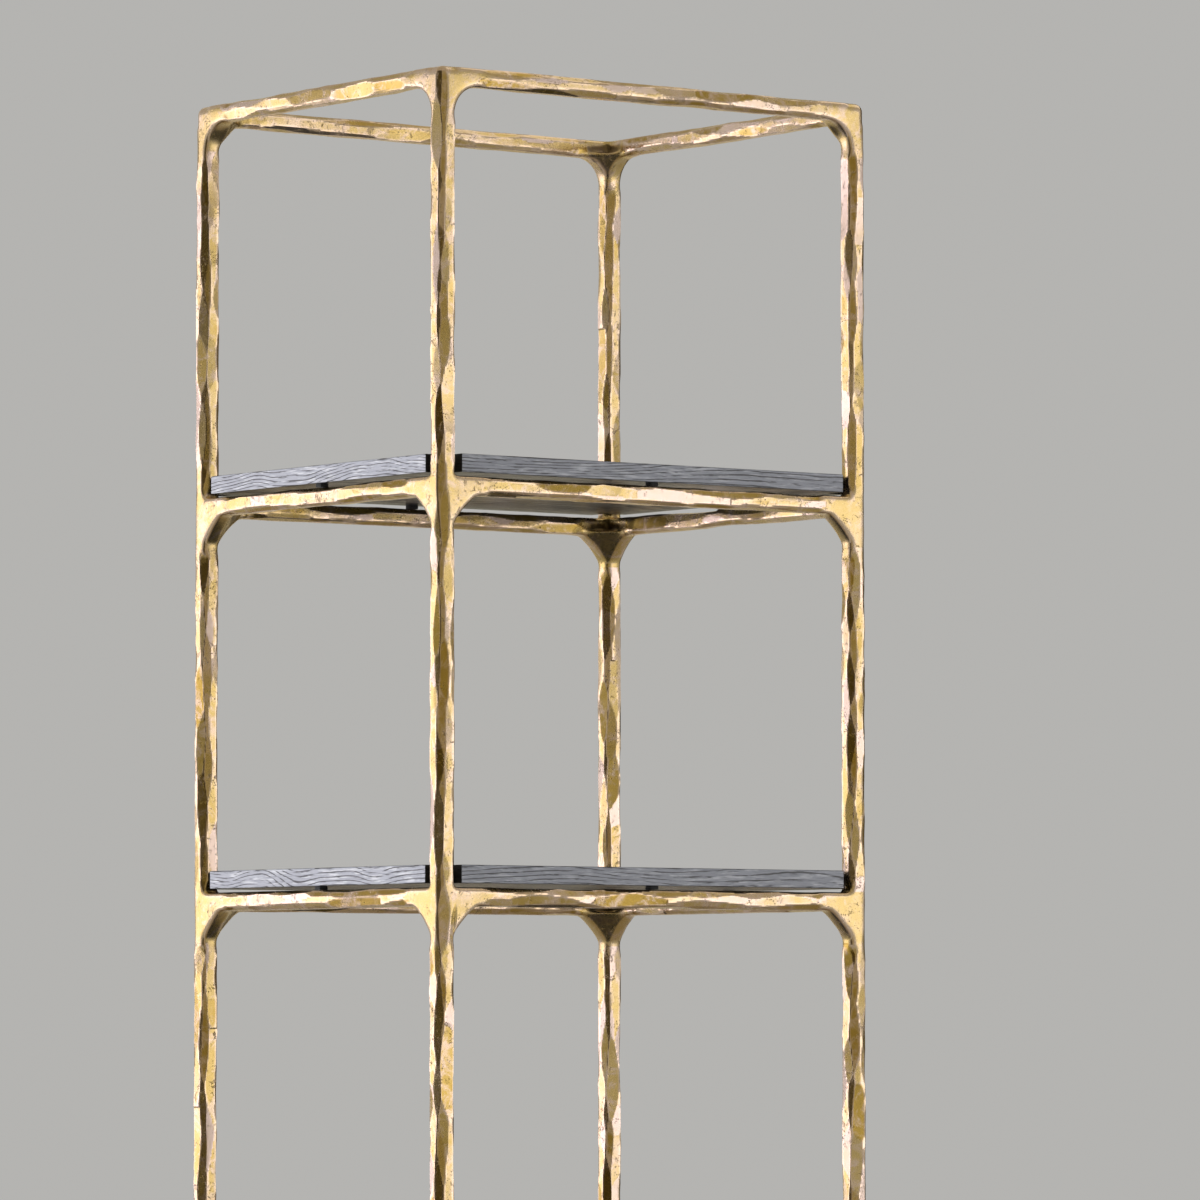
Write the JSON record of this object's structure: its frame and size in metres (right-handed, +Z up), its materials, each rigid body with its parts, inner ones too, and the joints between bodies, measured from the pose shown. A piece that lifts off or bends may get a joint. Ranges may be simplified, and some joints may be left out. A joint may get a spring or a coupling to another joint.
{
  "type": "shelving unit",
  "caption": "Tall open shelving unit: a frame of hammered square bar with corner webs, notched oak shelves lying on felt pads, and screw-in levelling feet.",
  "frame": {"origin": "on the floor under the middle of the unit, at the lowest plane of its four feet", "axes": "+Z up, X along the wide side with +X to the right seen from the front, and the front is the wide side at -Y"},
  "size_m": [0.559, 0.457, 2.286],
  "materials": {
    "brass": "hammered, pitted, aged to a pale olive bronze with bright worn flats",
    "oak": "charcoal stain, open grain, matt lacquer",
    "felt": "dense dark felt",
    "steel": "zinc-plated screw, satin",
    "nylon": "moulded, fine matt grain"
  },
  "bodies": {
    "frame": {"leg_front_left": "brass", "leg_front_right": "brass", "leg_back_left": "brass", "leg_back_right": "brass", "rail_top_front": "brass", "rail_top_back": "brass", "rail_top_left": "brass", "rail_top_right": "brass", "rail_level_1_front": "brass", "rail_level_1_back": "brass", "rail_level_1_left": "brass", "rail_level_1_right": "brass", "rail_level_2_front": "brass", "rail_level_2_back": "brass", "rail_level_2_left": "brass", "rail_level_2_right": "brass", "rail_level_3_front": "brass", "rail_level_3_back": "brass", "rail_level_3_left": "brass", "rail_level_3_right": "brass", "rail_level_4_front": "brass", "rail_level_4_back": "brass", "rail_level_4_left": "brass", "rail_level_4_right": "brass", "rail_level_5_front": "brass", "rail_level_5_back": "brass", "rail_level_5_left": "brass", "rail_level_5_right": "brass", "webs_top": "brass", "webs_level_1": "brass", "webs_level_2": "brass", "webs_level_3": "brass", "webs_level_4": "brass", "webs_level_5": "brass"},
    "shelf_1": {"shelf_1": "oak", "shelf_pads_1": "felt"},
    "shelf_2": {"shelf_2": "oak", "shelf_pads_2": "felt"},
    "shelf_3": {"shelf_3": "oak", "shelf_pads_3": "felt"},
    "shelf_4": {"shelf_4": "oak", "shelf_pads_4": "felt"},
    "shelf_5": {"shelf_5": "oak", "shelf_pads_5": "felt"},
    "foot_base_front_left": {"foot_base_front_left": "nylon"},
    "levelling_screw_front_left": {"levelling_screw_front_left": "steel"},
    "foot_base_front_right": {"foot_base_front_right": "nylon"},
    "levelling_screw_front_right": {"levelling_screw_front_right": "steel"},
    "foot_base_back_left": {"foot_base_back_left": "nylon"},
    "levelling_screw_back_left": {"levelling_screw_back_left": "steel"},
    "foot_base_back_right": {"foot_base_back_right": "nylon"},
    "levelling_screw_back_right": {"levelling_screw_back_right": "steel"}
  },
  "joints": [
    {"name": "shelf_1_lift", "type": "slide", "parent": "frame", "child": "shelf_1", "axis": [0, 0, 1], "range_m": [0, 0.33]},
    {"name": "shelf_2_lift", "type": "slide", "parent": "frame", "child": "shelf_2", "axis": [0, 0, 1], "range_m": [0, 0.33]},
    {"name": "shelf_3_lift", "type": "slide", "parent": "frame", "child": "shelf_3", "axis": [0, 0, 1], "range_m": [0, 0.33]},
    {"name": "shelf_4_lift", "type": "slide", "parent": "frame", "child": "shelf_4", "axis": [0, 0, 1], "range_m": [0, 0.33]},
    {"name": "shelf_5_lift", "type": "slide", "parent": "frame", "child": "shelf_5", "axis": [0, 0, 1], "range_m": [0, 0.33]},
    {"name": "foot_travel_front_left", "type": "slide", "parent": "frame", "child": "foot_base_front_left", "axis": [0, 0, -1], "range_m": [0, 0.012]},
    {"name": "screw_turn_front_left", "type": "hinge", "parent": "foot_base_front_left", "child": "levelling_screw_front_left", "pos_m": [-0.2695, -0.2185, 0.03], "axis": [0, 0, -1], "range_deg": [0, 3456]},
    {"name": "foot_travel_front_right", "type": "slide", "parent": "frame", "child": "foot_base_front_right", "axis": [0, 0, -1], "range_m": [0, 0.012]},
    {"name": "screw_turn_front_right", "type": "hinge", "parent": "foot_base_front_right", "child": "levelling_screw_front_right", "pos_m": [0.2695, -0.2185, 0.03], "axis": [0, 0, -1], "range_deg": [0, 3456]},
    {"name": "foot_travel_back_left", "type": "slide", "parent": "frame", "child": "foot_base_back_left", "axis": [0, 0, -1], "range_m": [0, 0.012]},
    {"name": "screw_turn_back_left", "type": "hinge", "parent": "foot_base_back_left", "child": "levelling_screw_back_left", "pos_m": [-0.2695, 0.2185, 0.03], "axis": [0, 0, -1], "range_deg": [0, 3456]},
    {"name": "foot_travel_back_right", "type": "slide", "parent": "frame", "child": "foot_base_back_right", "axis": [0, 0, -1], "range_m": [0, 0.012]},
    {"name": "screw_turn_back_right", "type": "hinge", "parent": "foot_base_back_right", "child": "levelling_screw_back_right", "pos_m": [0.2695, 0.2185, 0.03], "axis": [0, 0, -1], "range_deg": [0, 3456]}
  ],
  "couplings": [
    {"joint": "screw_turn_front_left", "follows": "foot_travel_front_left", "rad_per_m": 5026.5},
    {"joint": "screw_turn_front_right", "follows": "foot_travel_front_right", "rad_per_m": 5026.5},
    {"joint": "screw_turn_back_left", "follows": "foot_travel_back_left", "rad_per_m": 5026.5},
    {"joint": "screw_turn_back_right", "follows": "foot_travel_back_right", "rad_per_m": 5026.5}
  ]
}
